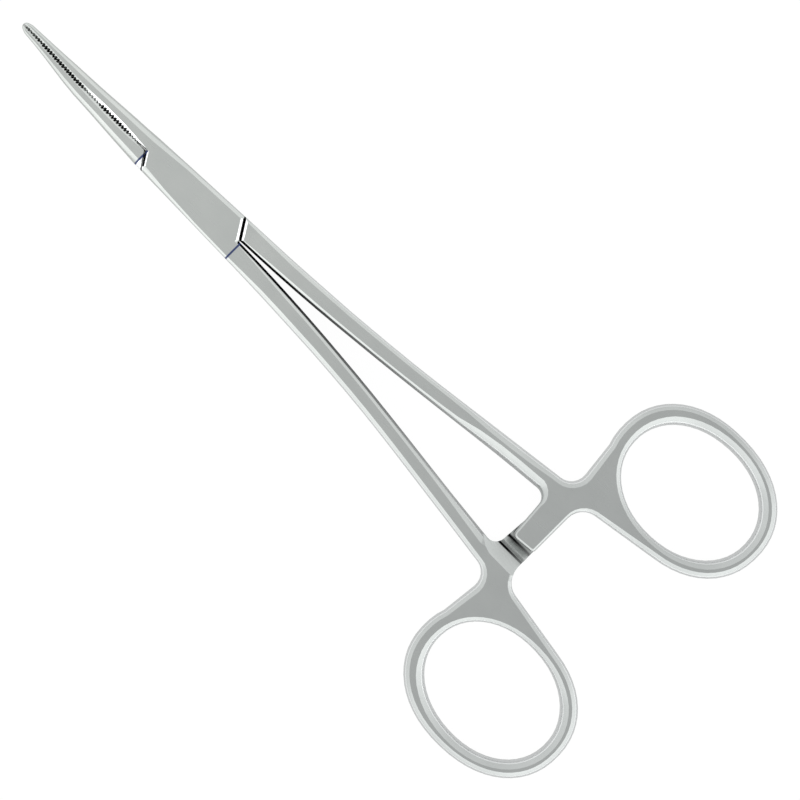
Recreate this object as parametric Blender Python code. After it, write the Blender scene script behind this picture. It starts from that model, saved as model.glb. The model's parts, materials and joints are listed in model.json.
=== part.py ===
"""Straight haemostatic forceps: two forged arms in a box lock, with a ratchet and finger rings.

X runs from the pivot towards the finger rings, Y crosses the instrument and Z is up.
The origin lies on the pivot axis, in the plane of the box lock's underside.
"""

import bisect
import math

import bmesh
import bpy
from mathutils import Matrix, Vector

# Lengths along the instrument, from the pivot
TIP_REACH = 0.0379
BOX_REACH = 0.01015
SHANK_REACH = 0.0723

# Jaws, seen from above
TIP_HALF_WIDTH = 0.00084
NOSE_LENGTH = 0.00125
JAW_BOW = 0.00036
SERRATION_PITCH = 0.000565
SERRATION_DEPTH = 0.0003
JAW_GAP = 0.00034
JAW_MEETING_GAP = 0.00005
JAW_MEETING_HEIGHT = 0.0007
JAW_CHAMFER_WIDTH = 0.00042
JAW_CHAMFER_DEPTH = 0.0003
SMOOTH_TIP = 0.0006
SMOOTH_BASE = 0.0014

# Box lock
BOX_FRONT_HALF_WIDTH = 0.00279
BOX_REAR_HALF_WIDTH = 0.00347
SEAM_RUN = 0.0022
SEAM_GAP = 0.00028
SEAM_CHAMFER_WIDTH = 0.00046
SEAM_CHAMFER_DEPTH = 0.0002
CROTCH_HALF_GAP = 0.00008
TONGUE_THICKNESS = 0.002
TONGUE_CLEARANCE = 0.0001
PIN_RADIUS = 0.0011
PIN_SEAT_GAP = 0.00003
PIN_RUNNING_GAP = 0.00006

# Shanks, seen from above
SHANK_WIDTH = 0.0031
SHANK_END_SPREAD = 0.0075

# Ratchet bars
BAR_WIDTH = 0.00487
BAR_TAPER = 0.0006
BAR_FILLET = 0.0018
BAR_CORNER = 0.0009
BAR_BACK_CORNER = 0.0006
BAR_END_SLANT = 0.0004
TOOTH_COUNT = 4
TOOTH_PITCH = 0.00195
TOOTH_DEPTH = 0.0006
TOOTH_ENGAGEMENT = 0.00015
TOOTH_END = 0.00054
CREST_CLEARANCE = 0.00008
ROOT_GROOVE = 0.00092
ROOT_DISH = 0.0028
ROOT_RUNOUT = 0.0029

# Finger rings
RING_HOLE_LENGTH = 0.0237
RING_HOLE_WIDTH = 0.0184
RING_END_WALL = 0.00285
RING_SIDE_WALL = 0.00252
RING_HOLE_OFFSET = 0.0002
RING_HOLE_SET_BACK = 0.00016
RING_SET_BACK = 0.0008
RING_RISE = 0.0011
RING_TILT = math.radians(-0.7)
RING_HOLE_TILT = math.radians(2.5)
WEB_FILLET = 0.0033
NECK_FILLET = 0.0028

# Thicknesses
TIP_THICKNESS = 0.0019
JAW_BASE_THICKNESS = 0.0044
BOX_THICKNESS = 0.0048
SHANK_THICKNESS = 0.0035
RING_THICKNESS = 0.0039

# Widths of the bevels along the edges, seen from above
BOX_EDGE = 0.0007
BOX_FRONT_EDGE = 0.0011
BOX_REAR_EDGE = 0.00045
SHANK_EDGE = 0.00078
RIDGE_INNER_EDGE = 0.00155
RIDGE_OUTER_EDGE = 0.00115
ROOT_EDGE = 0.00145
BAR_EDGE = 0.00042
WEB_EDGE = 0.00075
NECK_EDGE = 0.0011
RING_EDGE = 0.00094
RING_HOLE_EDGE = 0.00133
WEB_HOLE_EDGE = 0.00075
STOCK_EDGE = 0.0005

# Cutters run this far past what they cut, and welded points are nearer than this
OVERRUN = 0.001
WELD = 0.000001

# Steps of curved edges
FILLET_STEPS = 6
NOSE_STEPS = 5
JAW_STEPS = 12
BOX_STEPS = 4
SHANK_STEPS = 16
RING_STEPS = 44
HOLE_STEPS = 52
DISH_STEPS = 6
PIN_STEPS = 32

# Width of one jaw, as (share of the way from the tip to the box, share of the jaw's width there)
JAW_WIDTH_SHARES = ((0, 0.3), (0.148, 0.393), (0.261, 0.492), (0.374, 0.604), (0.487, 0.688),
                    (0.6, 0.745), (0.714, 0.821), (0.826, 0.895), (0.939, 0.957), (1, 1))

# Middle line of the instrument, as (share of the tip's reach, share of the bow)
BOW_SHARES = ((-1, 0.2), (-0.892, -0.05), (-0.809, -0.41), (-0.727, -0.76), (-0.644, -1),
              (-0.52, -1), (-0.25, -1), (-0.106, -0.72), (0.1, -0.48), (0.308, -0.25),
              (0.557, -0.07), (0.805, 0.13), (1.053, 0.28), (1.674, 0.3), (1.9, 0.2), (2.3, 0.05))

# Gap between the jaws, as (share of the way from the tip to the box, share of the jaw gap)
GAP_SHARES = ((0, 0.4), (0.08, 0.45), (0.17, 0.85), (0.25, 1), (0.4, 1), (0.47, 0.8), (0.53, 0.45),
              (0.62, 0.4), (0.67, 1), (0.82, 0.9), (0.88, 0.6), (0.94, 0.35), (1, 0.5))

# Chamfer along the biting edges, as (share of the way from the tip to the box, share of its size)
JAW_CHAMFER_SHARES = ((0, 0.45), (0.12, 0.6), (0.45, 0.6), (0.6, 0.85), (0.72, 1), (0.85, 0.9),
                      (0.95, 0.45), (1, 0.3))

# Middle line of a shank, as (share of the way from the box to the ratchet, share of its spread)
SPREAD_SHARES = ((0, 0), (0.1, 0.038), (0.176, 0.08), (0.252, 0.13), (0.328, 0.187), (0.403, 0.256),
                 (0.479, 0.332), (0.555, 0.419), (0.63, 0.515), (0.706, 0.617), (0.782, 0.721),
                 (0.858, 0.822), (0.93, 0.912), (1, 1))

# Width of a shank, as (share of the way from the box to the ratchet, share of the shank's width)
SHANK_WIDTH_SHARES = ((0, 1.13), (0.1, 1.1), (0.176, 1.095), (0.252, 1.075), (0.328, 1.04),
                      (0.403, 1.02), (0.555, 1), (0.63, 1.01), (0.782, 1.045), (0.858, 1.07),
                      (0.93, 1.12), (1, 1.17))
WIDTH_BLEND_SHARE = 0.15

# Section of a bevel, from the side to the flat, as (share of its width inwards, share down)
BEVEL_SHARES = ((0, 1), (0.12, 0.65), (0.4, 0.34), (1, 0))

# Bevel along the box on the ring's side, as (share of the way from front to rear, share of the front's)
BOX_EDGE_SHARES = ((0, 1), (0.12, 1), (0.3, 0.3), (0.4, 0), (1, 0))

# Where the shanks' bevels grow wide, as (share of the way from the box to the ratchet, share). The male
# shank is ground to a ridge, and the female one runs out into its ratchet's root
RIDGE_INNER_SHARES = ((0, 0), (0.68, 0), (0.8, 1), (1, 1))
RIDGE_OUTER_SHARES = ((0, 0), (0.68, 0), (0.8, 1), (0.92, 1), (1, 0.3))
ROOT_SHARES = ((0, 0), (0.78, 0.15), (0.9, 0.6), (1, 1))

# Jaw thickness, as (share of the way from the tip to the box, share between tip and base)
JAW_THICKNESS_SHARES = ((0, 0), (0.2, 0.24), (0.5, 0.56), (0.8, 0.85), (0.93, 1))

# Shank thickness, as (share of the way from the box to the ratchet, share between box and shank)
SHANK_THICKNESS_SHARES = ((0, 0), (0.03, 0.15), (0.07, 0.6), (0.12, 0.9), (0.2, 1), (0.9, 1))

# Where the rings reach their own thickness, as shares of a ring's length
RING_THICKNESS_SHARES = ((0, 0), (0.15, 0.6), (0.35, 1))

# Corners between the shank, the bar and the ring
NECK_ACROSS_SHARE = 0.49
NECK_RISE_SHARE = 1.03
WEB_DROP_SHARE = 0.87
RING_START = math.radians(-78)
RING_END = math.radians(198)
FILLET_ROOM_SHARE = 1.35
JAW_EDGE_SHARE = 0.36
NOSE_EDGE_SHARE = 0.4
RING_SQUARENESS_SHARE = 0.92
HOLE_SQUARENESS_SHARE = 0.955
WEB_DIRECTION = math.radians(-130)
TOOTH_RAMP_SHARE = 0.42
TOOTH_END_SHARE = 0.5
RIDGE_BACK_SHARE = 0.5
DISH_POWER = 1.5
RUNOUT_SLANT_SHARE = 0.33
SEAM_PAST_SHARE = 1.6

# The side of the mid-line on which an arm's ring lies, and the ends of the box lock
FEMALE = -1
MALE = 1
FRONT = -1
REAR = 1

STEEL_COLOUR = (0.5, 0.51, 0.51, 1)
STEEL_ROUGHNESS = 0.3
PIN_ROUGHNESS = 0.25

MID_HEIGHT = BOX_THICKNESS / 2
SHANK_RUN = SHANK_REACH - BOX_REACH
JAW_LENGTH = TIP_REACH - BOX_REACH
RING_LENGTH = RING_HOLE_LENGTH + 2 * RING_END_WALL
RING_WIDTH = RING_HOLE_WIDTH + 2 * RING_SIDE_WALL
RING_CENTRE_X = SHANK_REACH + RING_SET_BACK + RING_LENGTH / 2
WIDE_BEVELS = {
    FEMALE: ((ROOT_EDGE, ROOT_SHARES), (SHANK_EDGE, RIDGE_OUTER_SHARES)),
    MALE: ((RIDGE_INNER_EDGE, RIDGE_INNER_SHARES), (RIDGE_OUTER_EDGE, RIDGE_OUTER_SHARES)),
}
FIRST_RIDGE = (TOOTH_COUNT * TOOTH_PITCH - TOOTH_ENGAGEMENT) / 2
BAR_END = FIRST_RIDGE - (TOOTH_COUNT - 1) * TOOTH_PITCH - TOOTH_END


def read(shares, place):
    """The value of a table at a place, on a smooth curve through the table's points."""
    places = [point[0] for point in shares]
    values = [point[1] for point in shares]
    last = len(shares) - 1
    place = min(max(place, places[0]), places[last])
    start = min(bisect.bisect_right(places, place) - 1, last - 1)
    end = start + 1

    def slope(index):
        before = max(index - 1, 0)
        after = min(index + 1, last)
        return (values[after] - values[before]) / (places[after] - places[before])

    run = places[end] - places[start]
    part = (place - places[start]) / run
    rest = 1 - part
    from_start = values[start] * (1 + 2 * part) + run * slope(start) * part
    from_end = values[end] * (1 + 2 * rest) - run * slope(end) * rest
    return from_start * rest * rest + from_end * part * part


def stations(start, end, count):
    """Places spread evenly from start to end, both included."""
    return [start + (end - start) * index / (count - 1) for index in range(count)]


def mix(low, high, share):
    return low + (high - low) * share


# Plan of an arm: x along the instrument, y towards the arm's own finger ring


def bow(x):
    """How far the middle line of the whole instrument lies off the X axis."""
    return JAW_BOW * read(BOW_SHARES, x / TIP_REACH)


def jaw_share(x):
    """Share of the way from the tip to the box."""
    return (x + TIP_REACH) / JAW_LENGTH


def jaw_half_width(x):
    share = read(JAW_WIDTH_SHARES, jaw_share(x))
    tip_share = JAW_WIDTH_SHARES[0][1]
    return mix(TIP_HALF_WIDTH, BOX_FRONT_HALF_WIDTH, (share - tip_share) / (1 - tip_share))


def box_half_width(x):
    return mix(BOX_FRONT_HALF_WIDTH, BOX_REAR_HALF_WIDTH, (x / BOX_REACH + 1) / 2)


def shank_edges(x):
    """The inner and outer edge of a shank, as distances from the middle line."""
    share = (x - BOX_REACH) / SHANK_RUN
    start_width = BOX_REAR_HALF_WIDTH - CROTCH_HALF_GAP
    start_middle = (BOX_REAR_HALF_WIDTH + CROTCH_HALF_GAP) / 2
    blend = min(max(share / WIDTH_BLEND_SHARE, 0), 1)
    width = mix(start_width, SHANK_WIDTH * read(SHANK_WIDTH_SHARES, share), blend)
    middle = mix(start_middle, SHANK_END_SPREAD, read(SPREAD_SHARES, share))
    return middle - width / 2, middle + width / 2


def ring_centre():
    outer_edge = shank_edges(SHANK_REACH)[1]
    return Vector((RING_CENTRE_X, outer_edge + RING_RISE + RING_WIDTH / 2))


def squared_ellipse(angle, length, width, squareness_share):
    """A point on an ellipse with slightly squared shoulders."""
    across, up = math.cos(angle), math.sin(angle)
    return Vector((
        length / 2 * math.copysign(abs(across) ** squareness_share, across),
        width / 2 * math.copysign(abs(up) ** squareness_share, up),
    ))


def ring_point(angle):
    """A point on the outer edge of the ring."""
    point = squared_ellipse(angle, RING_LENGTH, RING_WIDTH, RING_SQUARENESS_SHARE)
    return ring_centre() + Matrix.Rotation(RING_TILT, 2) @ point


def hole_point(angle):
    """A point on the edge of the finger hole, whose long axis is tilted outwards."""
    point = squared_ellipse(angle, RING_HOLE_LENGTH, RING_HOLE_WIDTH, HOLE_SQUARENESS_SHARE)
    centre = ring_centre() + Vector((RING_HOLE_SET_BACK, -RING_HOLE_OFFSET))
    return centre + Matrix.Rotation(RING_HOLE_TILT, 2) @ point


def fillet(before, corner, after, radius):
    """The arc that rounds a corner between two straight edges."""
    corner = Vector(corner)
    towards_before = (Vector(before) - corner).normalized()
    towards_after = (Vector(after) - corner).normalized()
    half_angle = towards_before.angle(towards_after) / 2
    centre = corner + (towards_before + towards_after).normalized() * radius / math.sin(half_angle)
    start = corner + towards_before * radius / math.tan(half_angle) - centre
    end = corner + towards_after * radius / math.tan(half_angle) - centre
    sweep = start.angle_signed(end)
    return [
        centre + Matrix.Rotation(-sweep * index / FILLET_STEPS, 2) @ start
        for index in range(FILLET_STEPS + 1)
    ]


def bevelled(points, start_width, end_width):
    """The points with the width of the bevel along them, as (x, y, width)."""
    widths = stations(start_width, end_width, len(points))
    return [(point[0], point[1], width) for point, width in zip(points, widths)]


def jaw_edge():
    """The rounded nose and the outer edge of the jaw."""
    nose_x = -TIP_REACH + NOSE_LENGTH
    quarter = [math.pi / 2 * index / NOSE_STEPS for index in range(NOSE_STEPS)]
    nose = [
        (nose_x - NOSE_LENGTH * math.cos(angle), -TIP_HALF_WIDTH * math.sin(angle))
        for angle in quarter
    ]
    jaw = [
        (x, -jaw_half_width(x), JAW_EDGE_SHARE * jaw_half_width(x))
        for x in stations(nose_x, -BOX_REACH, JAW_STEPS)
    ]
    return bevelled(nose, NOSE_EDGE_SHARE * TIP_HALF_WIDTH, JAW_EDGE_SHARE * TIP_HALF_WIDTH) + jaw


def shank_side(xs, edge_index, wide_edge, shares):
    """One edge of a shank. Its bevel grows from the box's, and then to the wide one by a table."""
    points = []
    for x in xs:
        way = (x - BOX_REACH) / SHANK_RUN
        start_share = min(max(way / WIDTH_BLEND_SHARE, 0), 1)
        width = mix(BOX_REAR_EDGE, mix(SHANK_EDGE, wide_edge, read(shares, way)), start_share)
        points.append((x, shank_edges(x)[edge_index], width))
    return points


def bar_and_ring_edge(side):
    """From the inner edge of the shank round the ratchet bar and the ring to its outer edge."""
    inner, outer = shank_edges(SHANK_REACH)
    bar_back = SHANK_REACH + BAR_WIDTH
    inner_corner = (SHANK_REACH, inner)
    end_front = (SHANK_REACH + BAR_TAPER, BAR_END)
    end_back = (bar_back, BAR_END + BAR_END_SLANT)
    web_corner = (bar_back, outer - WEB_DROP_SHARE * RING_RISE)
    neck_corner = (SHANK_REACH + NECK_ACROSS_SHARE * BAR_WIDTH, outer * NECK_RISE_SHARE)
    inner_last = SHANK_REACH - FILLET_ROOM_SHARE * BAR_FILLET
    outer_first = neck_corner[0] - FILLET_ROOM_SHARE * NECK_FILLET
    inner_bevel, outer_bevel = WIDE_BEVELS[side]
    shank_in = shank_side(stations(BOX_REACH, inner_last, SHANK_STEPS), 0, *inner_bevel)
    shank_out = shank_side(stations(outer_first, BOX_REACH, SHANK_STEPS), 1, *outer_bevel)
    ring = [ring_point(angle) for angle in stations(RING_START, RING_END, RING_STEPS)]
    root = fillet(shank_in[-1][:2], inner_corner, end_front, BAR_FILLET)
    end = fillet(inner_corner, end_front, end_back, BAR_CORNER)
    end += fillet(end_front, end_back, web_corner, BAR_BACK_CORNER)
    web = fillet(end_back, web_corner, ring[0], WEB_FILLET)
    neck = fillet(ring[-1], neck_corner, shank_out[0][:2], NECK_FILLET)
    return (
        shank_in
        + bevelled(root, shank_in[-1][2], BAR_EDGE)
        + bevelled(end, BAR_EDGE, BAR_EDGE)
        + bevelled(web, BAR_EDGE, WEB_EDGE)
        + bevelled(ring, RING_EDGE, RING_EDGE)
        + bevelled(neck, NECK_EDGE, shank_out[0][2])
        + shank_out
    )


def arm_outline(side):
    """The blank of an arm: full width at the box, with stock left along the jaw's biting edge."""
    stock = STOCK_EDGE + SERRATION_DEPTH + JAW_GAP
    step_x = -BOX_REACH - STOCK_EDGE - SERRATION_DEPTH
    lower_box = [
        (x, -box_half_width(x), BOX_EDGE) for x in stations(-BOX_REACH, BOX_REACH, BOX_STEPS)
    ]
    upper_box = []
    for x in stations(BOX_REACH, step_x, BOX_STEPS):
        share = read(BOX_EDGE_SHARES, (x / BOX_REACH + 1) / 2)
        upper_box.append((x, box_half_width(x), mix(BOX_REAR_EDGE, BOX_FRONT_EDGE, share)))
    return (
        jaw_edge()
        + lower_box[1:]
        + bar_and_ring_edge(side)
        + upper_box[1:]
        + bevelled([(step_x, stock), (-TIP_REACH, stock)], STOCK_EDGE, STOCK_EDGE)
    )


def ring_hole():
    """The finger hole. Its bevel is narrower next to the web."""
    edge = []
    for index in range(HOLE_STEPS):
        angle = 2 * math.pi * index / HOLE_STEPS
        share = max(math.cos(angle - WEB_DIRECTION), 0)
        edge.append((*hole_point(angle), mix(RING_HOLE_EDGE, WEB_HOLE_EDGE, share)))
    return edge


def biting_edge(side, gap_at):
    """The zigzag of the serrations, half a gap short of the line where the jaws meet."""
    first = -TIP_REACH + SMOOTH_TIP
    last = -BOX_REACH - SMOOTH_BASE
    count = round((last - first) / SERRATION_PITCH) * 2
    edge = []
    for index, x in enumerate(stations(first, last, count + 1)):
        inside = 0 < index < count
        wave = SERRATION_DEPTH / 2 * (-1) ** index if inside else 0
        edge.append((x, side * wave - gap_at(x) / 2))
    return [(-TIP_REACH - OVERRUN, edge[0][1])] + edge


def closed_gap(_):
    return JAW_MEETING_GAP


def open_gap(x):
    return JAW_GAP * read(GAP_SHARES, jaw_share(x))


def relief_plan(side):
    """What is cut away along the biting edge above and below the height at which the jaws meet."""
    edge = biting_edge(side, open_gap)
    inside = SERRATION_DEPTH + JAW_GAP
    return edge + [(edge[-1][0], inside), (edge[0][0], inside)]


def front_waste(side, reach):
    """What is cut away between the jaw's biting edge and the front seam of the box."""
    far_y = BOX_REAR_HALF_WIDTH * SEAM_PAST_SHARE
    far_x = -reach + SEAM_RUN * SEAM_PAST_SHARE
    edge = biting_edge(side, closed_gap)
    end = [(-BOX_REACH, edge[-1][1]), (-reach, 0), (far_x, far_y), (-TIP_REACH - OVERRUN, far_y)]
    return edge + end


def rear_waste(reach):
    """What is cut away behind the rear seam of the box."""
    far_y = -BOX_REAR_HALF_WIDTH * SEAM_PAST_SHARE
    far_x = reach - SEAM_RUN * SEAM_PAST_SHARE
    back_x = BOX_REACH + OVERRUN
    return [(reach, 0), (far_x, far_y), (back_x, far_y), (back_x, 0)]


def lock_plan(reach):
    """The space between the sloped ends of the lock, open towards both sides."""
    far_y = BOX_REAR_HALF_WIDTH * SEAM_PAST_SHARE
    run = SEAM_RUN * SEAM_PAST_SHARE
    return [
        (-reach, 0),
        (-reach + run, -far_y),
        (reach, -far_y),
        (reach, 0),
        (reach - run, far_y),
        (-reach, far_y),
    ]


def placed(plan, side):
    """Plan points as world points: the ring lies at -Y on the female arm, at +Y on the male."""
    return [(point[0], side * point[1] + bow(point[0]), *point[2:]) for point in plan]


# Solids


def new_solid(name, form, group):
    mesh = bpy.data.meshes.new(name)
    bmesh.ops.recalc_face_normals(form, faces=form.faces)
    form.to_mesh(mesh)
    form.free()
    solid = bpy.data.objects.new(name, mesh)
    group.objects.link(solid)
    return solid


def prism(form, plan, low, high):
    """Adds a straight solid over a plan, between two heights."""
    base = form.faces.new([form.verts.new((x, y, low)) for x, y in plan])
    lifted = bmesh.ops.extrude_face_region(form, geom=[base])["geom"]
    top = [item for item in lifted if isinstance(item, bmesh.types.BMVert)]
    bmesh.ops.translate(form, verts=top, vec=(0, 0, high - low))


def inward_directions(outline, is_hole):
    """For each point of an outline, the way into the steel, longer at corners so that bevels stay even."""
    count = len(outline)
    points = [Vector(point[:2]) for point in outline]
    area = sum(points[index - 1].cross(points[index]) for index in range(count))
    turn = 1 if (area > 0) != is_hole else -1
    ways = []
    for index in range(count):
        before = (points[index] - points[index - 1]).normalized()
        after = (points[(index + 1) % count] - points[index]).normalized()
        middle = (before + after).normalized()
        ways.append(Vector((-middle.y, middle.x)) * turn / middle.dot(before))
    return ways


def bevelled_blank(name, outlines, group):
    """A flat solid with bevelled edges and z = 0 in its middle. The second outline is a hole."""
    places = thickness_stations()
    half = BOX_THICKNESS / 2
    section = [(1, *shares) for shares in BEVEL_SHARES]
    section = [(-1, *shares) for shares in reversed(BEVEL_SHARES)] + section
    form = bmesh.new()
    rims = ([], [])
    for is_hole, outline in enumerate(outlines):
        ways = inward_directions(outline, bool(is_hole))
        rows = []
        for face, inset_share, drop_share in section:
            row = []
            for (x, y, width), way in zip(outline, ways):
                place = Vector((x, y)) + way * width * inset_share
                drop = drop_share * width * BOX_THICKNESS / thickness_at(places, place.x)
                row.append(form.verts.new((*place, face * (half - drop))))
            rows.append(row)
        for row, next_row in zip(rows, rows[1:]):
            for index in range(len(row)):
                form.faces.new((row[index - 1], row[index], next_row[index], next_row[index - 1]))
        for rim, row in zip(rims, (rows[0], rows[-1])):
            rim.extend(form.edges.get((row[index - 1], row[index])) for index in range(len(row)))
    for rim in rims:
        bmesh.ops.triangle_fill(form, use_beauty=True, edges=rim)
    return new_solid(name, form, group)


def thickness_stations():
    """Where the thickness changes along the instrument, as (x, thickness)."""
    jaw = [
        (-TIP_REACH + share * JAW_LENGTH, mix(TIP_THICKNESS, JAW_BASE_THICKNESS, part))
        for share, part in JAW_THICKNESS_SHARES
    ]
    shank = [
        (BOX_REACH + share * SHANK_RUN, mix(BOX_THICKNESS, SHANK_THICKNESS, part))
        for share, part in SHANK_THICKNESS_SHARES
    ]
    ring = [
        (SHANK_REACH + share * RING_LENGTH, mix(SHANK_THICKNESS, RING_THICKNESS, part))
        for share, part in RING_THICKNESS_SHARES
    ]
    return jaw + [(-BOX_REACH, BOX_THICKNESS)] + shank + ring


def shape_thickness(solid):
    """Thins the blank from the box towards the tips and the shanks."""
    places = thickness_stations()
    form = bmesh.new()
    form.from_mesh(solid.data)
    for x, _ in places:
        parts = form.verts[:] + form.edges[:] + form.faces[:]
        bmesh.ops.bisect_plane(form, geom=parts, plane_co=(x, 0, 0), plane_no=(1, 0, 0), dist=WELD)
    for vert in form.verts:
        vert.co.z = MID_HEIGHT + vert.co.z * thickness_at(places, vert.co.x) / BOX_THICKNESS
    form.to_mesh(solid.data)
    form.free()


def thickness_at(places, x):
    """Thickness at x, straight between the stations, so that each stretch stays flat."""
    xs = [place[0] for place in places]
    x = min(max(x, xs[0]), xs[-1])
    start = min(bisect.bisect_right(xs, x) - 1, len(xs) - 2)
    share = (x - xs[start]) / (xs[start + 1] - xs[start])
    return mix(places[start][1], places[start + 1][1], share)


def cut(solid, cutters):
    """Takes all the cutters of a collection away from a solid at once."""
    modifier = solid.modifiers.new(cutters.name, "BOOLEAN")
    modifier.operation = "DIFFERENCE"
    modifier.operand_type = "COLLECTION"
    modifier.collection = cutters
    for cutter in cutters.objects:
        cutter.hide_render = True
        cutter.display_type = "WIRE"


def plan_cutter(name, plan, side, spans, group):
    """A straight cutter with this plan, between each pair of heights."""
    form = bmesh.new()
    for low, high in spans:
        prism(form, placed(plan, side), low, high)
    return new_solid(name, form, group)


def seam_cutter(name, reach, side, hand, ends, group):
    """Flat diamond bars along the top and bottom of the seams at these ends of the box."""
    form = bmesh.new()
    run = SEAM_RUN * SEAM_PAST_SHARE
    far_y = BOX_REAR_HALF_WIDTH * SEAM_PAST_SHARE
    for end in ends:
        seam = placed([(end * reach, 0), (end * (reach - run), -end * hand * far_y)], side)
        start, stop = [Vector((*point, 0)) for point in seam]
        across = (stop - start).normalized().cross(Vector((0, 0, 1))) * SEAM_CHAMFER_WIDTH
        for height in (0, BOX_THICKNESS):
            add_wedge(form, [start, stop], [across, across], height, SEAM_CHAMFER_DEPTH)
    return new_solid(name, form, group)


def add_wedge(form, middles, acrosses, height, depth):
    """Adds a bar with a diamond section, along these points at this height."""
    rows = []
    for middle, across in zip(middles, acrosses):
        corners = (-across, Vector((0, 0, -depth)), across, Vector((0, 0, depth)))
        rows.append([form.verts.new(middle + corner + Vector((0, 0, height))) for corner in corners])
    for row, next_row in zip(rows, rows[1:]):
        for index in range(len(row)):
            form.faces.new((row[index - 1], row[index], next_row[index], next_row[index - 1]))
    form.faces.new(rows[0])
    form.faces.new(rows[-1])


def jaw_chamfer_cutter(name, group):
    """Flat diamond bars along the top and bottom of the biting edges."""
    form = bmesh.new()
    places = thickness_stations()
    xs = stations(-TIP_REACH - OVERRUN, -BOX_REACH, JAW_STEPS)
    shares = [read(JAW_CHAMFER_SHARES, jaw_share(x)) for x in xs]
    acrosses = [Vector((0, JAW_GAP / 2 + JAW_CHAMFER_WIDTH * share, 0)) for share in shares]
    for face in (-1, 1):
        middles = [Vector((x, bow(x), face * thickness_at(places, x) / 2)) for x in xs]
        add_wedge(form, middles, acrosses, MID_HEIGHT, JAW_CHAMFER_DEPTH)
    return new_solid(name, form, group)


def pin_hole_cutter(name, radius, group):
    form = bmesh.new()
    bmesh.ops.create_cone(
        form,
        cap_ends=True,
        segments=PIN_STEPS,
        radius1=radius,
        radius2=radius,
        depth=BOX_THICKNESS + 2 * OVERRUN,
        matrix=Matrix.Translation((0, 0, MID_HEIGHT)),
    )
    return new_solid(name, form, group)


def ratchet_profile():
    """Lower edge of the cut that leaves the teeth: (distance towards the ring, height over middle)."""
    crest = -CREST_CLEARANCE
    floor = crest - TOOTH_DEPTH
    ramp = TOOTH_RAMP_SHARE * TOOTH_PITCH
    high = SHANK_THICKNESS / 2 + OVERRUN
    profile = [(BAR_END - OVERRUN, high), (BAR_END - OVERRUN, mix(crest, floor, TOOTH_END_SHARE))]
    profile.append((BAR_END, mix(crest, floor, TOOTH_END_SHARE)))
    for index in reversed(range(TOOTH_COUNT)):
        ridge = FIRST_RIDGE - index * TOOTH_PITCH
        if index < TOOTH_COUNT - 1:
            profile.append((ridge - ramp, floor))
        profile.append((ridge, crest))
        if index:
            profile.append((ridge, floor))
    profile.append((FIRST_RIDGE + RIDGE_BACK_SHARE * ROOT_GROOVE, floor))
    for share in stations(0, 1, DISH_STEPS):
        rise = share**DISH_POWER
        profile.append((FIRST_RIDGE + ROOT_GROOVE + share * ROOT_DISH, mix(floor, high, rise)))
    return profile


def ratchet_cutter(name, side, group):
    """Takes half the bar's thickness away and leaves the teeth. The root runs out along the shank."""
    back = SHANK_REACH + BAR_WIDTH + OVERRUN
    run = back - SHANK_REACH
    form = bmesh.new()
    prism(form, ratchet_profile(), 0, run + ROOT_RUNOUT)
    parts = form.verts[:] + form.edges[:] + form.faces[:]
    bmesh.ops.bisect_plane(form, geom=parts, plane_co=(0, 0, run), plane_no=(0, 0, 1), dist=WELD)
    for vert in form.verts:
        vert.co.x -= RUNOUT_SLANT_SHARE * max(vert.co.z - run, 0)
    turn = Matrix(((0, 0, -1), (side, 0, 0), (0, -side, 0))).to_4x4()
    form.transform(Matrix.Translation((back, 0, MID_HEIGHT)) @ turn)
    return new_solid(name, form, group)


def steel(name, roughness):
    material = bpy.data.materials.new(name)
    material.use_nodes = True
    shader = material.node_tree.nodes["Principled BSDF"]
    shader.inputs["Base Color"].default_value = STEEL_COLOUR
    shader.inputs["Metallic"].default_value = 1
    shader.inputs["Roughness"].default_value = roughness
    return material


def forged_arm(name, side, parts, cutters):
    """The blank of an arm, bored for the pin, with its jaw serrated and its ratchet bar toothed."""
    outlines = [placed(arm_outline(side), side), placed(ring_hole(), side)]
    arm = bevelled_blank(name, outlines, parts)
    shape_thickness(arm)
    group = new_collection(name + "_cutters", cutters)
    seam_length = math.hypot(SEAM_RUN, BOX_REAR_HALF_WIDTH)
    seam_shift = SEAM_GAP * seam_length / BOX_REAR_HALF_WIDTH
    reach = BOX_REACH if side == FEMALE else BOX_REACH - seam_shift
    under, over = -OVERRUN, BOX_THICKNESS + OVERRUN
    through = [(under, over)]
    half_meeting = JAW_MEETING_HEIGHT / 2
    relief = [(under, MID_HEIGHT - half_meeting), (MID_HEIGHT + half_meeting, over)]
    plan_cutter(name + "_front_waste", front_waste(side, reach), side, through, group)
    plan_cutter(name + "_rear_waste", rear_waste(reach), side, through, group)
    plan_cutter(name + "_jaw_relief", relief_plan(side), side, relief, group)
    jaw_chamfer_cutter(name + "_jaw_chamfer", group)
    ratchet_cutter(name + "_ratchet_cutter", side, group)
    if side == FEMALE:
        half_slot = TONGUE_THICKNESS / 2 + TONGUE_CLEARANCE
        slot = [(MID_HEIGHT - half_slot, MID_HEIGHT + half_slot)]
        plan_cutter("slot", lock_plan(BOX_REACH), side, slot, group)
        seam_cutter("cheek_chamfers", BOX_REACH, side, 1, (FRONT, REAR), group)
        pin_hole_cutter("pin_seat", PIN_RADIUS + PIN_SEAT_GAP, group)
    else:
        shoulder = BOX_REACH + seam_shift
        low, high = MID_HEIGHT - TONGUE_THICKNESS / 2, MID_HEIGHT + TONGUE_THICKNESS / 2
        plan_cutter("round_tongue", lock_plan(shoulder), side, [(under, low), (high, over)], group)
        seam_cutter("shoulder_chamfers", shoulder, side, -1, (REAR,), group)
        pin_hole_cutter("pin_bore", PIN_RADIUS + PIN_RUNNING_GAP, group)
    cut(arm, group)
    arm.data.materials.append(steel(name + "_steel", STEEL_ROUGHNESS))
    return arm


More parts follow.
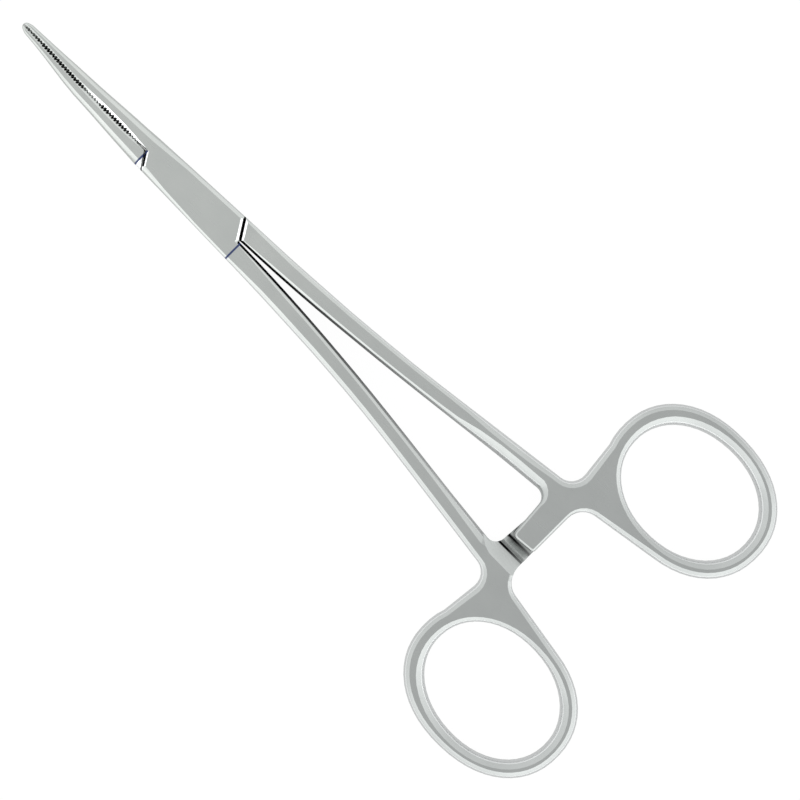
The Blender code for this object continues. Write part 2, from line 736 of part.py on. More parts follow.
def pivot_pin(parts):
    bpy.ops.mesh.primitive_cylinder_add(
        vertices=PIN_STEPS, radius=PIN_RADIUS, depth=BOX_THICKNESS, location=(0, 0, MID_HEIGHT)
    )
    pin = bpy.context.object
    pin.name = "pivot_pin"
    for group in pin.users_collection:
        group.objects.unlink(pin)
    parts.objects.link(pin)
    pin.data.materials.append(steel("pin_steel", PIN_ROUGHNESS))
    return pin


def new_collection(name, parent):
    group = bpy.data.collections.new(name)
    parent.children.link(group)
    return group


def main():
    for obj in list(bpy.data.objects):
        bpy.data.objects.remove(obj, do_unlink=True)
    parts = new_collection("hemostat_forceps", bpy.context.scene.collection)
    cutters = new_collection("cutters", bpy.context.scene.collection)
    forged_arm("female_arm", FEMALE, parts, cutters)
    forged_arm("male_arm", MALE, parts, cutters)
    pivot_pin(parts)


main()
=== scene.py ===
"""Straight haemostatic forceps in satin stainless steel, lying closed on a pale floor."""

import json
import math

import bmesh
import bpy
import numpy
from mathutils import Matrix, Vector
from mathutils.bvhtree import BVHTree

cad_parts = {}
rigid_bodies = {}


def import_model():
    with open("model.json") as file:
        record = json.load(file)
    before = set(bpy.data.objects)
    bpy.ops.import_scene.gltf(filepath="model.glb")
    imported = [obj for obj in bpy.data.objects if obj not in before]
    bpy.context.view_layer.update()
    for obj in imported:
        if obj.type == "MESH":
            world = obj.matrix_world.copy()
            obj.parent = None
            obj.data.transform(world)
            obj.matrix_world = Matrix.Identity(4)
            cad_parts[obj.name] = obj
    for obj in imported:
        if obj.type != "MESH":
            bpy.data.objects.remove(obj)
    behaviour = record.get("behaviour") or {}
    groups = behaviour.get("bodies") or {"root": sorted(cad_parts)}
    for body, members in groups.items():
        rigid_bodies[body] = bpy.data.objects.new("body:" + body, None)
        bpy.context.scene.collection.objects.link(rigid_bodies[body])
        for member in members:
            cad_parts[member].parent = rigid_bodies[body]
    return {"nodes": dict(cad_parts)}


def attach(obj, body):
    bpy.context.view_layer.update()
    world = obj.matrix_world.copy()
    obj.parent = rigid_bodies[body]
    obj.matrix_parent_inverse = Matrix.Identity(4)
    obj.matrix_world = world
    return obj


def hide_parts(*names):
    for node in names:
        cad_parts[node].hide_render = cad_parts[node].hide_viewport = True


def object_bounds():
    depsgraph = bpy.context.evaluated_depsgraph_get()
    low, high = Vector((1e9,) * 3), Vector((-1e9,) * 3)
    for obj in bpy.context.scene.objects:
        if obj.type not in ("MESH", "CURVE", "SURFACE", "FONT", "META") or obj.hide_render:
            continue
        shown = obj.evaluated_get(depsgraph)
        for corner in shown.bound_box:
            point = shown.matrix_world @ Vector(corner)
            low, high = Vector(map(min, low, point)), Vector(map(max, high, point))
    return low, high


for obj in list(bpy.data.objects):
    bpy.data.objects.remove(obj, do_unlink=True)

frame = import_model()
cad_box = [list(corner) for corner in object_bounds()]

MM = 0.001

# Corners nearer than this are one, and faces that turn more than this meet in a crisp edge
MERGE_DISTANCE = 0.002 * MM
SHARP_ANGLE = math.radians(28)

# Faces by the upward share of their normal: over the first they are ground flats, under the second
# sides or the foot of a bevel, and under the third sides only
FLAT_RISE = 0.95
STEEP_RISE = 0.74
WALL_RISE = 0.2

# Side of the instrument on which each piece has its ring, along Y
RING_SIDES = {"female_arm": -1, "male_arm": 1, "pivot_pin": 1}

# Places along the instrument: the tip, the end of the jaws, the reach of the lock to either side of
# the pin, the ratchet bars and the rings
TIP_END = cad_box[0][0]
JAW_END = -10.9 * MM
LOCK_REACH = 14 * MM
RATCHET_START = 70.2 * MM
RATCHET_END = 77.6 * MM
RING_MIDDLE = 88 * MM

# Where the shanks' inner bevels begin behind the lock. They turn less than this share towards X,
# and the seam beside them turns more
CROTCH_START = 10.3 * MM
CROTCH_TURN = 0.2

# Heights: the top of the lock, the middle, and how far from it the tongue inside the lock and the
# ledge on which the jaws meet are looked for
BOX_TOP = cad_box[1][2]
MIDDLE_HEIGHT = BOX_TOP / 2
TONGUE_RISE = 1.2 * MM
LEDGE_RISE = 0.4 * MM

# Walls of the jaws and the lock that face each other nearer than the first length get the whole
# painted shade, and past the second none. A ray that looks for a wall starts this far off its own,
# and this share of the way from the corner to the middle of its face
CLOSE_WALLS = 1.2 * MM
FREE_WALLS = 3 * MM
RAY_START = 0.01 * MM
CORNER_SHARE = 0.02

# Share of the painted shade on the jaws' ledge and on the walls. It is whole on the walls of the
# seams, which turn more than this share towards X
LEDGE_SHADE = 0.95
WALL_SHADE = 0.65
SEAM_WALL_TURN = 0.6

# How far the painted shade of the gap between the jaws reaches in from their inner edges. It comes
# and goes along them, as (share of the way from the tip to the end of the jaws, share of the reach)
JAW_SHADE = 0.2 * MM
JAW_SHADE_SHARES = (
    (0, 0.3), (0.1, 0.35), (0.17, 0.9), (0.25, 1), (0.49, 1), (0.53, 0.2),
    (0.63, 0.2), (0.66, 1), (0.86, 1), (0.92, 0.2), (1, 0.2),
)

# First and last crest of the female jaw's serrations and the teeth between them. Where the teeth
# meet, this much is taken off the painted shade's cover of the edges and this share of it is left
# on the walls. The painted shade is whole where the wave of the teeth is over this level
SERRATION_PLACES = (-37.02 * MM, -11.83 * MM)
SERRATION_TEETH = 45
MEETING_REACH = 2.2
MEETING_SHARE = 0.5
MEETING_WIDTH = 0.35

# How far the painted shade reaches over the shanks' inner bevels, what share of the seams'
# chamfers it covers, and how soft its edge is
SHANK_SHADE = 0.38 * MM
REAR_SEAM_SHADE_SHARE = 0.25
FRONT_SEAM_SHADE_SHARE = 0.55
SHADE_SOFTNESS = 0.06 * MM

# The painted shade on the shanks' inner sides lightens from the first place to the second
SHADE_FADE = {"From Min": 20 * MM, "From Max": 60 * MM, "To Min": 1, "To Max": 0.3}

# The seams of the lock run along X + slope * Y = place, and the tongue gets painted shade under
# them
SEAM_SLOPE = 0.634
SEAM_PLACE = 10.15 * MM
SEAM_REACH = 0.36 * MM
SEAM_SOFTNESS = 0.1 * MM

# Three places get a painted highlight. The chamfers of the seams are known by their tilt
SEAM_CHAMFER_TILTS = (math.radians(22.5), math.radians(24.5))
SEAM_CHAMFER_WIDTH = 0.46 * MM
SEAM_CHAMFER_DEPTH = 0.2 * MM

# The chamfer along the female jaw's serrations gets a painted highlight, rising between these two
# places
JAW_CHAMFER_PLACES = (-23.6 * MM, -21 * MM)

# The male jaw's flat gets a painted highlight from the front mark to this edge of the front seam
FRONT_SEAM = -SEAM_PLACE - 0.1 * MM

# The foot of the bevels gets a painted highlight, brighter than the flats and the sides, more and
# more from the first place to the second, but not at the ratchet
RIM_HIGHLIGHT = 0.32
RIM_PLACES = (-10 * MM, 25 * MM)

# Two thin blue marks, across the male jaw and the female shank, each beside a seam of the lock.
# They start at this place across the instrument
MARK_PLACES = (-9.9 * MM, 10.58 * MM)
MARK_WIDTH = 0.31 * MM
MARK_SOFTNESS = 0.12 * MM
MARK_START = -0.2 * MM

# The female ratchet bar across the instrument. Its slopes, which rise more than this share, shine
# so far like level ones
RATCHET_BACK = -7.7 * MM
RATCHET_FRONT = -2 * MM
SLOPE_RISE = 0.02
LEVEL_SHARE = 0.4

# Painted shadow in the grooves across that bar, as (place, half width, softness). It lies below the
# top and fades from the first place to the second
GROOVES = ((-2.75 * MM, 0.06 * MM, 0.4 * MM), (-4.53 * MM, 0.13 * MM, 0.14 * MM))
GROOVE_TOP = 2.3 * MM
GROOVE_FADE = {"From Min": 74 * MM, "From Max": 77.2 * MM, "To Min": 1, "To Max": 0.55}

# The pin's visual fills its seat, because the riveted joint can't be seen
PIN_SPREAD = 1.026

# What the camera sees: a square of the floor, turned so that the forceps lies from corner to corner
VIEW_SIDE = 125.49 * MM
VIEW_CENTRE = Vector((45.52 * MM, 0.11 * MM, MIDDLE_HEIGHT))
VIEW_TURN = math.radians(45)
CAMERA_HEIGHT = 600 * MM


def linear(colour):
    """An sRGB hex colour as the linear values that the shaders take."""
    values = [int(colour[place:place + 2], 16) / 255 for place in (1, 3, 5)]
    return [v / 12.92 if v <= 0.04045 else ((v + 0.055) / 1.055) ** 2.4 for v in values] + [1]


def add_node(tree, kind, settings=(), sockets=()):
    """Adds a node with its settings. Its sockets, by name or place, get their values or links."""
    node = tree.nodes.new("ShaderNode" + kind)
    for name, value in dict(settings).items():
        setattr(node, name, value)
    for name, value in dict(sockets).items():
        if isinstance(value, bpy.types.NodeSocket):
            tree.links.new(value, node.inputs[name])
        else:
            node.inputs[name].default_value = value
    return node


def new_material(name):
    material = bpy.data.materials.new(name)
    material.use_nodes = True
    material.node_tree.nodes.clear()
    return material


# Finishes

# Numbers that the corners of the pieces carry to the steel: painted shade and painted highlight
EDGE_SHADE = "edge_shade"
GAP_DEPTH = "gap_depth"
PAINTED_HIGHLIGHT = "painted_highlight"

# The steel's tones go from the first to the second in a soft mottle. The rings' tones are darker as
# painted shade, and the steel goes over to them along the instrument
JAW_TONES = ("#aeb2b0", "#bbbebb")
RING_SHADED_TONES = ("#9b9e9d", "#a6a9a8")
MOTTLE_SIZE = 7 * MM
# Colour of the painted highlight
HIGHLIGHT_WHITE = "#f4f5f6"
# Colour of the painted shade in the gaps, seams and grooves
PAINTED_SHADE = "#0c0c0d"
MARK_BLUE = "#24386e"

# The grain of a 320 grit belt is about 0.05 mm wide, and is drawn three times as coarse to show
GRAIN_WIDTH = 0.15 * MM
GRAIN_LENGTH = 4 * MM
GRAIN_DEPTH = 0.004 * MM
GRAIN_STRENGTH = 0.25
SATIN_GLOSS = {"From Min": 0.3, "From Max": 0.7, "To Min": 0.27, "To Max": 0.35}

# The painted shade is drawn matt, so that it stays dark on walls that are seen at a slant
SHADE_ROUGHNESS = 0.85

PAPER = "#f4f4f4"
WHITE = "#ffffff"
FLOOR_WHITE_SHARE = 0.9
FLOOR_GLOW = 1.06


def distance_from(tree, value, middle):
    """How far a value lies from a middle one, to either side."""
    offset = add_node(tree, "Math", {"operation": "SUBTRACT"}, {0: value, 1: middle})
    away = add_node(tree, "Math", {"operation": "ABSOLUTE"}, {0: offset.outputs["Value"]})
    return away.outputs["Value"]


def groove_shadow_mask(tree, parts):
    """1 in the painted shadow of the grooves of the female ratchet bar, 0 elsewhere."""
    darkest = 0
    for middle, half_width, softness in GROOVES:
        band = add_node(tree, "MapRange", {"interpolation_type": "SMOOTHSTEP"}, {
            "Value": distance_from(tree, parts["Y"], middle),
            "From Min": half_width + softness, "From Max": half_width})
        darker = add_node(tree, "Math", {"operation": "MAXIMUM"}, {
            0: band.outputs["Result"], 1: darkest})
        darkest = darker.outputs["Value"]
    behind = add_node(tree, "Math", {"operation": "GREATER_THAN"}, {
        0: parts["X"], 1: RATCHET_START})
    low = add_node(tree, "Math", {"operation": "LESS_THAN"}, {0: parts["Z"], 1: GROOVE_TOP})
    place = add_node(tree, "Math", {"operation": "MULTIPLY"}, {
        0: behind.outputs["Value"], 1: low.outputs["Value"]})
    fade = add_node(tree, "MapRange", sockets={"Value": parts["X"], **GROOVE_FADE})
    deep = add_node(tree, "Math", {"operation": "MULTIPLY"}, {
        0: fade.outputs["Result"], 1: darkest})
    mask = add_node(tree, "Math", {"operation": "MULTIPLY"}, {
        0: place.outputs["Value"], 1: deep.outputs["Value"]})
    return mask.outputs["Value"]


def serration_wave(tree, parts):
    """0 where the jaws' teeth meet and the painted shade is taken off, 1 between them and behind
    the jaws.
    """
    first, last = SERRATION_PLACES
    turn = math.tau * SERRATION_TEETH / (last - first)
    phase = add_node(tree, "Math", {"operation": "MULTIPLY_ADD"}, {
        0: parts["X"], 1: turn, 2: math.tau / 4 - turn * first})
    swing = add_node(tree, "Math", {"operation": "COSINE"}, {0: phase.outputs["Value"]})
    wave = add_node(tree, "MapRange", sockets={
        "Value": swing.outputs["Value"], "From Min": -1, "From Max": MEETING_WIDTH})
    behind = add_node(tree, "Math", {"operation": "GREATER_THAN"}, {0: parts["X"], 1: JAW_END})
    whole = add_node(tree, "Math", {"operation": "MAXIMUM"}, {
        0: wave.outputs["Result"], 1: behind.outputs["Value"]})
    return whole.outputs["Value"]


def seam_way(tree, parts):
    """The place of a point across the direction of the seams."""
    way = add_node(tree, "Math", {"operation": "MULTIPLY_ADD"}, {
        0: parts["Y"], 1: SEAM_SLOPE, 2: parts["X"]})
    return way.outputs["Value"]


def seam_shade_mask(tree, parts):
    """1 for painted shade on the tongue's level faces under the two seams, 0 elsewhere."""
    way = seam_way(tree, parts)
    out = add_node(tree, "Math", {"operation": "ABSOLUTE"}, {0: way})
    band = add_node(tree, "MapRange", sockets={
        "Value": distance_from(tree, out.outputs["Value"], SEAM_PLACE),
        "From Min": SEAM_REACH + SEAM_SOFTNESS, "From Max": SEAM_REACH})
    turn = add_node(tree, "Math", {"operation": "MULTIPLY"}, {0: way, 1: parts["Y"]})
    half = add_node(tree, "Math", {"operation": "GREATER_THAN"}, {
        0: turn.outputs["Value"], 1: 0})
    level = add_node(tree, "Math", {"operation": "COMPARE"}, {
        0: parts["Z"], 1: MIDDLE_HEIGHT, 2: TONGUE_RISE})
    normal = add_node(tree, "SeparateXYZ", sockets={
        "Vector": add_node(tree, "NewGeometry").outputs["True Normal"]})
    rise = add_node(tree, "Math", {"operation": "ABSOLUTE"}, {0: normal.outputs["Z"]})
    flat = add_node(tree, "Math", {"operation": "GREATER_THAN"}, {
        0: rise.outputs["Value"], 1: FLAT_RISE})
    tongue = add_node(tree, "Math", {"operation": "MULTIPLY"}, {
        0: flat.outputs["Value"], 1: level.outputs["Value"]})
    inside = add_node(tree, "Math", {"operation": "MULTIPLY"}, {
        0: half.outputs["Value"], 1: tongue.outputs["Value"]})
    mask = add_node(tree, "Math", {"operation": "MULTIPLY"}, {
        0: inside.outputs["Value"], 1: band.outputs["Result"]})
    return mask.outputs["Value"]


def highlight_mask(tree, parts):
    """1 for the painted highlight on the male jaw's flat between the front mark and the front seam,
    0 elsewhere.
    """
    start = add_node(tree, "Math", {"operation": "GREATER_THAN"}, {
        0: parts["X"], 1: MARK_PLACES[0]})
    end = add_node(tree, "Math", {"operation": "LESS_THAN"}, {
        0: seam_way(tree, parts), 1: FRONT_SEAM})
    both = add_node(tree, "Math", {"operation": "MULTIPLY"}, {
        0: start.outputs["Value"], 1: end.outputs["Value"]})
    top = add_node(tree, "Math", {"operation": "GREATER_THAN"}, {
        0: parts["Z"], 1: MIDDLE_HEIGHT + TONGUE_RISE})
    mask = add_node(tree, "Math", {"operation": "MULTIPLY"}, {
        0: both.outputs["Value"], 1: top.outputs["Value"]})
    return mask.outputs["Value"]


def mark_mask(tree, parts):
    """1 on the blue marks, 0 elsewhere. They lie on the upper side, on the female ring's half."""
    nearest = 1
    for middle in MARK_PLACES:
        nearer = add_node(tree, "Math", {"operation": "MINIMUM"}, {
            0: distance_from(tree, parts["X"], middle), 1: nearest})
        nearest = nearer.outputs["Value"]
    line = add_node(tree, "MapRange", {"interpolation_type": "SMOOTHSTEP"}, {
        "Value": nearest, "From Min": (MARK_WIDTH + MARK_SOFTNESS) / 2,
        "From Max": (MARK_WIDTH - MARK_SOFTNESS) / 2})
    side = add_node(tree, "Math", {"operation": "LESS_THAN"}, {0: parts["Y"], 1: MARK_START})
    top = add_node(tree, "Math", {"operation": "GREATER_THAN"}, {
        0: parts["Z"], 1: MIDDLE_HEIGHT})
    half = add_node(tree, "Math", {"operation": "MULTIPLY"}, {
        0: side.outputs["Value"], 1: top.outputs["Value"]})
    mask = add_node(tree, "Math", {"operation": "MULTIPLY"}, {
        0: line.outputs["Result"], 1: half.outputs["Value"]})
    return mask.outputs["Value"]


def painted_shade_mask(tree, parts):
    """How much painted shade there is: over the edges, in the gaps and in the grooves."""
    wave = serration_wave(tree, parts)
    reach = add_node(tree, "Attribute", {"attribute_name": EDGE_SHADE})
    raised = add_node(tree, "Math", {"operation": "MULTIPLY_ADD"}, {
        0: wave, 1: MEETING_REACH, 2: reach.outputs["Fac"]})
    cover = add_node(tree, "Math", {"operation": "SUBTRACT"}, {
        0: raised.outputs["Value"], 1: MEETING_REACH})
    inside = add_node(tree, "Clamp", sockets={"Value": cover.outputs["Value"]})
    fade = add_node(tree, "MapRange", sockets={"Value": parts["X"], **SHADE_FADE})
    edge = add_node(tree, "Math", {"operation": "MULTIPLY"}, {
        0: inside.outputs["Result"], 1: fade.outputs["Result"]})
    depth = add_node(tree, "Attribute", {"attribute_name": GAP_DEPTH})
    left = add_node(tree, "MapRange", sockets={"Value": wave, "To Min": MEETING_SHARE})
    wall = add_node(tree, "Math", {"operation": "MULTIPLY"}, {
        0: depth.outputs["Fac"], 1: left.outputs["Result"]})
    outer = add_node(tree, "Math", {"operation": "MAXIMUM"}, {
        0: edge.outputs["Value"], 1: wall.outputs["Value"]})
    deep = add_node(tree, "Math", {"operation": "MAXIMUM"}, {
        0: seam_shade_mask(tree, parts), 1: groove_shadow_mask(tree, parts)})
    dark = add_node(tree, "Math", {"operation": "MAXIMUM"}, {
        0: outer.outputs["Value"], 1: deep.outputs["Value"]})
    return dark.outputs["Value"]


def steel_tone(tree, place, parts):
    """The ground steel's colour: mottled, with painted shade darker towards the rings and a painted
    highlight, nearly white, in marked places.
    """
    mottle = add_node(tree, "TexNoise", sockets={
        "Vector": place, "Scale": 1 / MOTTLE_SIZE, "Detail": 3, "Roughness": 0.55})
    jaw_tone = add_node(tree, "Mix", {"data_type": "RGBA"}, {
        "Factor": mottle.outputs["Fac"], 6: linear(JAW_TONES[0]), 7: linear(JAW_TONES[1])})
    ring_shaded_tone = add_node(tree, "Mix", {"data_type": "RGBA"}, {
        "Factor": mottle.outputs["Fac"], 6: linear(RING_SHADED_TONES[0]), 7: linear(RING_SHADED_TONES[1])})
    way = add_node(tree, "MapRange", sockets={
        "Value": parts["X"], "From Min": 0, "From Max": RING_MIDDLE})
    tone = add_node(tree, "Mix", {"data_type": "RGBA"}, {
        "Factor": way.outputs["Result"], 6: jaw_tone.outputs[2], 7: ring_shaded_tone.outputs[2]})
    # Painted highlight from the corners and on the male jaw's flat
    edge = add_node(tree, "Attribute", {"attribute_name": PAINTED_HIGHLIGHT})
    highlighted = add_node(tree, "Math", {"operation": "MAXIMUM"}, {
        0: edge.outputs["Fac"], 1: highlight_mask(tree, parts)})
    ground = add_node(tree, "Mix", {"data_type": "RGBA"}, {
        "Factor": highlighted.outputs["Value"], 6: tone.outputs[2], 7: linear(HIGHLIGHT_WHITE)})
    return ground.outputs[2]


def satin_stainless():
    """Martensitic stainless steel, ground along its length and then satin finished.

    The eye sees an even, soft grey with blurred highlights along the rounded edges, and only from
    near by the faint lengthwise grain of the last grinding belt. Painted shade makes it a little
    darker towards the rings, and matt and dark on the walls in the narrow gaps, and a painted
    highlight makes the chamfers beside the gaps nearly white.
    """
    material = new_material("satin_ground_stainless_steel")
    tree = material.node_tree
    place = add_node(tree, "TexCoord").outputs["Object"]
    parts = add_node(tree, "SeparateXYZ", sockets={"Vector": place}).outputs
    dark = painted_shade_mask(tree, parts)
    # Painted shade: the dark colour mixed in over the gaps, seams and grooves
    shaded = add_node(tree, "Mix", {"data_type": "RGBA"}, {
        "Factor": dark, 6: steel_tone(tree, place, parts), 7: linear(PAINTED_SHADE)})
    mark = mark_mask(tree, parts)
    colour = add_node(tree, "Mix", {"data_type": "RGBA"}, {
        "Factor": mark, 6: shaded.outputs[2], 7: linear(MARK_BLUE)})
    metal = add_node(tree, "Math", {"operation": "SUBTRACT"}, {0: 1, 1: mark})
    along = add_node(tree, "Mapping", sockets={
        "Vector": place, "Scale": (1 / GRAIN_LENGTH, 1 / GRAIN_WIDTH, 1 / GRAIN_WIDTH)})
    grain = add_node(tree, "TexNoise", sockets={
        "Vector": along.outputs["Vector"], "Scale": 1, "Detail": 2, "Roughness": 0.6})
    satin = add_node(tree, "MapRange", sockets={"Value": grain.outputs["Fac"], **SATIN_GLOSS})
    gloss = add_node(tree, "Mix", sockets={
        "Factor": dark, 2: satin.outputs["Result"], 3: SHADE_ROUGHNESS})
    relief = add_node(tree, "Bump", sockets={
        "Height": grain.outputs["Fac"], "Strength": GRAIN_STRENGTH, "Distance": GRAIN_DEPTH})
    steel = add_node(tree, "BsdfPrincipled", sockets={
        "Metallic": metal.outputs["Value"], "Base Color": colour.outputs[2],
        "Roughness": gloss.outputs[0], "Normal": relief.outputs["Normal"]})
    add_node(tree, "OutputMaterial", sockets={"Surface": steel.outputs["BSDF"]})
    return material


def white_floor():
    """Matt white paper sweep, which the eye sees as one even white with a soft shadow.

    It is drawn pure white for the camera and for the steel's reflections.
    """
    material = new_material("matt_white_paper")
    tree = material.node_tree
    rays = add_node(tree, "LightPath").outputs
    seen = add_node(tree, "Math", {"operation": "MAXIMUM"}, {
        0: rays["Is Camera Ray"], 1: rays["Is Glossy Ray"]})
    white_share = add_node(tree, "Math", {"operation": "MULTIPLY"}, {
        0: seen.outputs["Value"], 1: FLOOR_WHITE_SHARE})
    paper = add_node(tree, "BsdfDiffuse", sockets={"Color": linear(PAPER)})
    glow = add_node(tree, "Emission", sockets={"Color": linear(WHITE), "Strength": FLOOR_GLOW})
    both = add_node(tree, "MixShader", sockets={
        "Fac": white_share.outputs["Value"],
        1: paper.outputs["BSDF"], 2: glow.outputs["Emission"]})
    add_node(tree, "OutputMaterial", sockets={"Surface": both.outputs["Shader"]})
    return material


# Pieces


def new_piece(name, form, material, body):
    """Turns a finished bmesh into a piece of the object that rides on a body."""
    mesh = bpy.data.meshes.new(name)
    form.to_mesh(mesh)
    form.free()
    piece = bpy.data.objects.new(name, mesh)
    bpy.context.scene.collection.objects.link(piece)
    piece.data.materials.append(material)
    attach(piece, body)
    return piece


def all_walls():
    """Every face of the object, to find out which walls face each other."""
    form = bmesh.new()
    for node in frame["nodes"].values():
        form.from_mesh(node.data)
    walls = BVHTree.FromBMesh(form)
    form.free()
    return walls


def level_way(normal):
    """The level direction in which a face looks."""
    return Vector((normal.x, normal.y, 0)).normalized()


def gap_depth(walls, point, normal):
    """1 for a wall with another close in front of it, falling to 0 for one with nothing near."""
    ahead = level_way(normal)
    distance = walls.ray_cast(point + ahead * RAY_START, ahead, FREE_WALLS)[3]
    if distance is None:
        return 0
    return min(1, (FREE_WALLS - distance) / (FREE_WALLS - CLOSE_WALLS))


def from_edge(walls, point, normal):
    """How far a point lies in from the wall that its face looks at, seen from above."""
    ahead = level_way(normal)
    inside = Vector((point.x, point.y, MIDDLE_HEIGHT)) - ahead * RAY_START
    distance = walls.ray_cast(inside, ahead, FREE_WALLS)[3]
    return 0 if distance is None else distance - RAY_START


def jaw_shade(x):
    """Reach of the painted shade over the chamfers of the jaws at a place."""
    share = (x - TIP_END) / (JAW_END - TIP_END)
    return float(numpy.interp(share, *zip(*JAW_SHADE_SHARES))) * JAW_SHADE


def shade_cover(reach, distance):
    """Over 1 within the reach of the painted shade and below 0 beyond, with the edge at one half.
    """
    return 0.5 + (reach - distance) / SHADE_SOFTNESS


def share_between(ends, x):
    """How far a place lies on the way from the first end to the second, from 0 to 1."""
    first, second = ends
    return min(1, max(0, (x - first) / (second - first)))


def looks_in(face, middle, side):
    """Whether a face of an arm looks towards the other arm."""
    return face.normal.y * side * math.copysign(1, middle.x) < 0


def is_crotch(face, middle):
    """Whether a face is on the inner bevel of a shank just behind the lock, not in the seam."""
    return CROTCH_START < middle.x < LOCK_REACH and abs(face.normal.x) < CROTCH_TURN


def is_on_seam(face, middle):
    """Whether a face is a chamfer of one of the lock's seams."""
    least, most = SEAM_CHAMFER_TILTS
    tilt = math.acos(min(1, abs(face.normal.z)))
    return abs(middle.x) < LOCK_REACH and least < tilt < most


def is_ledge(face, middle):
    """Whether a face is the ledge on which the jaws meet."""
    low = abs(middle.z - MIDDLE_HEIGHT) < LEDGE_RISE
    return abs(face.normal.z) > FLAT_RISE and low and middle.x < JAW_END


def wall_shade(face, corner, walls):
    """How much painted shade a wall or the ledge of the jaws has at one of its corners."""
    middle = face.calc_center_median()
    if is_ledge(face, middle):
        return LEDGE_SHADE
    if abs(face.normal.z) > STEEP_RISE or middle.x > LOCK_REACH or is_crotch(face, middle):
        return 0
    in_seam = middle.x > JAW_END and abs(face.normal.x) > SEAM_WALL_TURN
    share = 1 if in_seam else WALL_SHADE
    return share * gap_depth(walls, corner.lerp(middle, CORNER_SHARE), face.normal)


def corner_shade(face, corner, walls, side):
    """How far the painted shade covers a chamfer or bevel at one of its corners, as a shade cover.
    """
    middle = face.calc_center_median()
    rise = abs(face.normal.z)
    if rise > FLAT_RISE:
        return 0
    if LOCK_REACH < middle.x < RATCHET_START or is_crotch(face, middle):
        if rise < WALL_RISE or not looks_in(face, middle, side):
            return 0
        return shade_cover(SHANK_SHADE, from_edge(walls, corner, face.normal))
    if rise < STEEP_RISE:
        return 0
    if is_on_seam(face, middle):
        out = abs(corner.z - MIDDLE_HEIGHT) - (BOX_TOP - MIDDLE_HEIGHT - SEAM_CHAMFER_DEPTH)
        across = out / SEAM_CHAMFER_DEPTH * SEAM_CHAMFER_WIDTH
        share = REAR_SEAM_SHADE_SHARE if middle.x > 0 else FRONT_SEAM_SHADE_SHARE
        return shade_cover(share * SEAM_CHAMFER_WIDTH, across)
    if middle.x < JAW_END and looks_in(face, middle, side):
        return shade_cover(jaw_shade(corner.x), from_edge(walls, corner, face.normal))
    return 0


def corner_highlight(face, corner, node):
    """How bright the painted highlight on a face is at one of its corners."""
    middle = face.calc_center_median()
    if is_on_seam(face, middle):
        return 1
    on_jaw = node == "female_arm" and middle.x < JAW_END and face.normal.y < 0
    if on_jaw and STEEP_RISE < face.normal.z < FLAT_RISE:
        return share_between(JAW_CHAMFER_PLACES, corner.x)
    at_bars = RATCHET_START < middle.x < RATCHET_END and abs(middle.y) < abs(RATCHET_BACK)
    if WALL_RISE < abs(face.normal.z) < STEEP_RISE and not at_bars:
        return RIM_HIGHLIGHT * share_between(RIM_PLACES, corner.x)
    return 0


def is_sharp(edge):
    """Whether two faces meet in a crisp edge: all round a flat, and where they turn far."""
    if not edge.is_manifold:
        return True
    flats = sum(abs(face.normal.z) > FLAT_RISE for face in edge.link_faces)
    return flats == 1 or edge.calc_face_angle(0) > SHARP_ANGLE


def dressed_copy(node, name, walls, material, body, spread=1):
    """The CAD solid with its corners joined, smooth over its bevels and sharp at its cuts."""
    form = bmesh.new()
    form.from_mesh(frame["nodes"][node].data)
    bmesh.ops.scale(form, vec=(spread, spread, 1), verts=form.verts)
    bmesh.ops.remove_doubles(form, verts=form.verts, dist=MERGE_DISTANCE)
    form.normal_update()
    reach = form.loops.layers.float.new(EDGE_SHADE)
    depth = form.loops.layers.float.new(GAP_DEPTH)
    bright = form.loops.layers.float.new(PAINTED_HIGHLIGHT)
    for face in form.faces:
        face.smooth = True
        face.material_index = 0
        for loop in face.loops:
            loop[reach] = corner_shade(face, loop.vert.co, walls, RING_SIDES[node])
            loop[depth] = wall_shade(face, loop.vert.co, walls)
            loop[bright] = corner_highlight(face, loop.vert.co, node)
    for edge in form.edges:
        edge.smooth = not is_sharp(edge)
    piece = new_piece(name, form, material, body)
    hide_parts(node)
    return piece


def level_ratchet(mesh):
    """Turns the shading of the ratchet bar's slopes part of the way up, so soft is its polish."""
    up = Vector((0, 0, 1))
    # A normal of zero leaves a corner's shading as it is
    normals = [(0, 0, 0)] * len(mesh.loops)
    for face in mesh.polygons:
        inside = RATCHET_START < face.center.x < RATCHET_END
        across = RATCHET_BACK < face.center.y < RATCHET_FRONT
        if inside and across and SLOPE_RISE < face.normal.z < FLAT_RISE:
            for index in face.loop_indices:
                normal = mesh.corner_normals[index].vector
                normals[index] = normal.lerp(up, LEVEL_SHARE).normalized()
    mesh.normals_split_custom_set(normals)


walls = all_walls()
steel = satin_stainless()
female_arm = dressed_copy("female_arm", "female_arm_steel", walls, steel, "fixed_arm")
level_ratchet(female_arm.data)
dressed_copy("male_arm", "male_arm_steel", walls, steel, "moving_arm")
dressed_copy("pivot_pin", "pivot_pin_steel", walls, steel, "fixed_arm", PIN_SPREAD)


# Studio

FLOOR_HALF_SIDE = 1500 * MM

SOFTBOX_PLACE = Vector((50 * MM, -550 * MM, 350 * MM))
SOFTBOX_SIDE = 500 * MM
SOFTBOX_WATTS = 0.35

# Light of the white tent round the object, by the share of its direction that points along Y, X or
# Z. Its walls are lit more than its ceiling, and most beside and behind the rings
ACROSS_LEVELS = {"From Min": -0.7, "From Max": 0.7, "To Min": 1.7, "To Max": 1.5}
ALONG_LEVELS = {"From Min": 0.1, "From Max": 0.7, "To Min": 0, "To Max": 0.75}
CEILING_EDGE = {"From Min": 0.7, "From Max": 0.88}
CEILING_LEVEL = 1

# Light of the tent on all that isn't glossy
FILL_LEVEL = 0.7


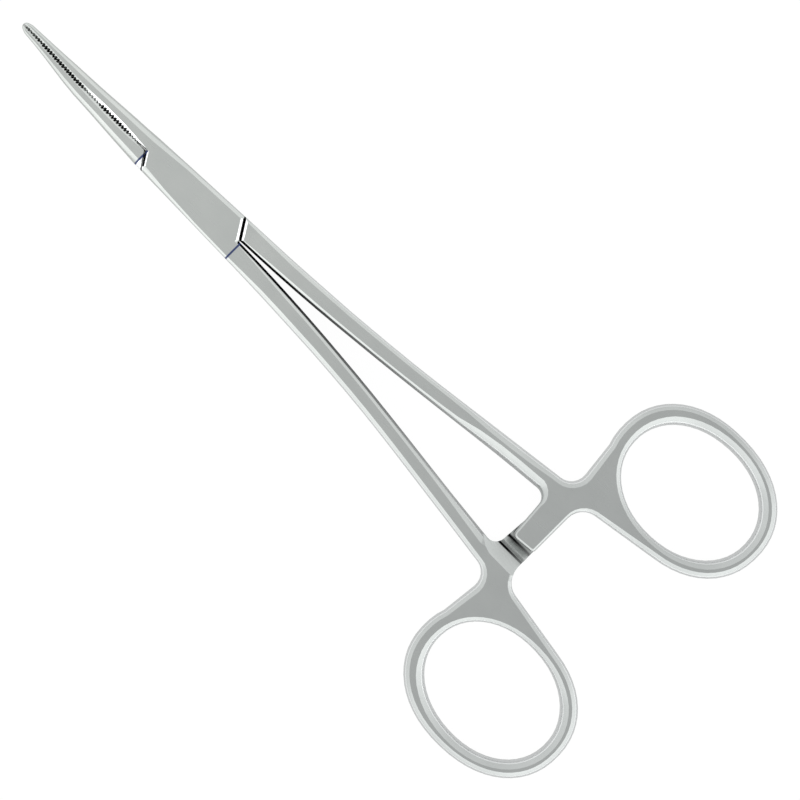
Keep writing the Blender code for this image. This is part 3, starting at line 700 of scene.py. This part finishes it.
def add_floor():
    form = bmesh.new()
    bmesh.ops.create_grid(form, x_segments=1, y_segments=1, size=FLOOR_HALF_SIDE)
    mesh = bpy.data.meshes.new("floor")
    form.to_mesh(mesh)
    form.free()
    floor = bpy.data.objects.new("floor", mesh)
    bpy.context.scene.collection.objects.link(floor)
    floor.data.materials.append(white_floor())


def add_softbox():
    """A square lamp that faces the middle of the view."""
    light = bpy.data.lights.new("near_softbox", "AREA")
    light.shape = "SQUARE"
    light.size = SOFTBOX_SIDE
    light.energy = SOFTBOX_WATTS
    lamp = bpy.data.objects.new("near_softbox", light)
    bpy.context.scene.collection.objects.link(lamp)
    lamp.location = SOFTBOX_PLACE
    lamp.rotation_euler = (VIEW_CENTRE - SOFTBOX_PLACE).to_track_quat("-Z", "Y").to_euler()
    lamp.visible_camera = False


def add_world():
    """A white tent of cloth. The camera sees it plain white, the steel sees how it is lit."""
    world = bpy.data.worlds.new("studio")
    bpy.context.scene.world = world
    world.use_nodes = True
    tree = world.node_tree
    tree.nodes.clear()
    direction = add_node(tree, "TexCoord").outputs["Generated"]
    parts = add_node(tree, "SeparateXYZ", sockets={"Vector": direction}).outputs
    across = add_node(tree, "MapRange", sockets={"Value": parts["Y"], **ACROSS_LEVELS})
    along = add_node(tree, "MapRange", sockets={"Value": parts["X"], **ALONG_LEVELS})
    wall = add_node(tree, "Math", {"operation": "ADD"}, {
        0: across.outputs["Result"], 1: along.outputs["Result"]})
    height = add_node(tree, "MapRange", {"interpolation_type": "SMOOTHSTEP"}, {
        "Value": parts["Z"], **CEILING_EDGE})
    tent = add_node(tree, "Mix", sockets={
        "Factor": height.outputs["Result"], 2: wall.outputs["Value"], 3: CEILING_LEVEL})
    rays = add_node(tree, "LightPath").outputs
    plain = add_node(tree, "Mix", sockets={
        "Factor": rays["Is Camera Ray"], 2: FILL_LEVEL, 3: 1})
    level = add_node(tree, "Mix", sockets={
        "Factor": rays["Is Glossy Ray"], 2: plain.outputs[0], 3: tent.outputs[0]})
    sky = add_node(tree, "Background", sockets={
        "Color": linear(WHITE), "Strength": level.outputs[0]})
    add_node(tree, "OutputWorld", sockets={"Surface": sky.outputs["Background"]})


def add_camera():
    data = bpy.data.cameras.new("camera")
    data.lens = data.sensor_width * CAMERA_HEIGHT / VIEW_SIDE
    camera = bpy.data.objects.new("camera", data)
    bpy.context.scene.collection.objects.link(camera)
    camera.matrix_world = (
        Matrix.Translation(VIEW_CENTRE + Vector((0, 0, CAMERA_HEIGHT)))
        @ Matrix.Rotation(VIEW_TURN, 4, "Z")
    )
    bpy.context.scene.camera = camera


add_floor()
add_softbox()
add_world()
add_camera()
bpy.context.scene.view_settings.view_transform = "Standard"
